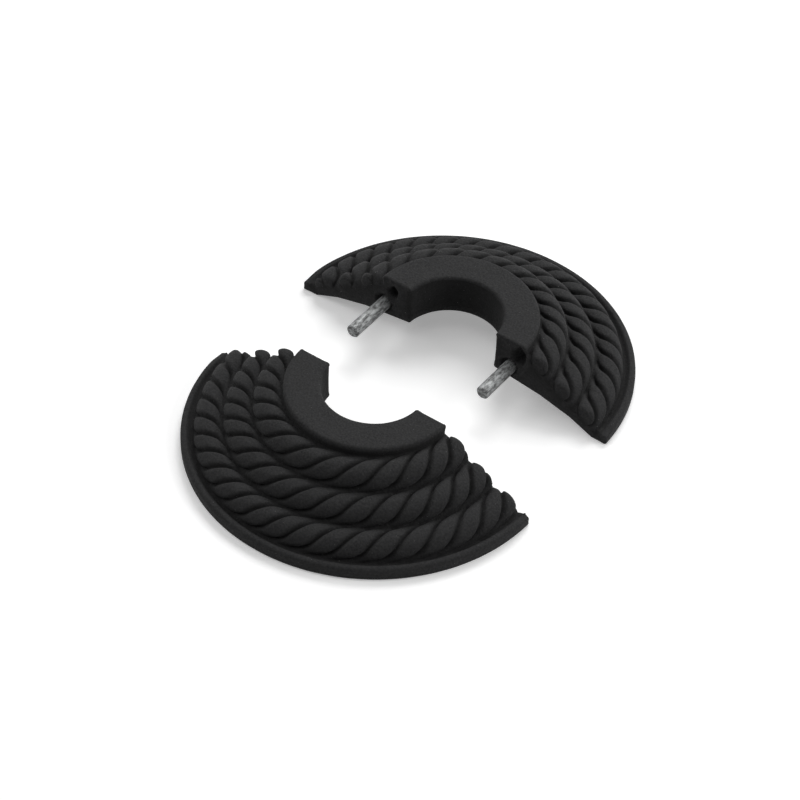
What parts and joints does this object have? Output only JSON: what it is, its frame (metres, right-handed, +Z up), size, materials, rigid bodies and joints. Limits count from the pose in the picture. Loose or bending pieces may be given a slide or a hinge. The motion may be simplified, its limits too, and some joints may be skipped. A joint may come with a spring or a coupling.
{
  "type": "split pipe rose",
  "caption": "Two-piece cast pipe rose with rope moulding: a stepped disc with a pipe bore, split in halves that slide together on dowel pins.",
  "frame": {"origin": "on the surface the rims stand on, midway between the bore centres of the two halves as they lie apart", "axes": "+Z up along the pipe bore, +Y the way the front half slides to close onto the back half, +X along the split"},
  "size_m": [0.105, 0.1416, 0.0205],
  "materials": {
    "black_casting": "matte black powder coat over a fine sandy casting",
    "zinc_steel": "dull zinc-coated steel with dark mottling"
  },
  "bodies": {
    "back_rose": {"back_half": "black_casting", "left_pin": "zinc_steel", "right_pin": "zinc_steel"},
    "front_rose": {"front_half": "black_casting"}
  },
  "joints": [
    {"name": "close_slide", "type": "slide", "parent": "back_rose", "child": "front_rose", "axis": [0, 1, 0], "range_m": [0, 0.0367]}
  ]
}
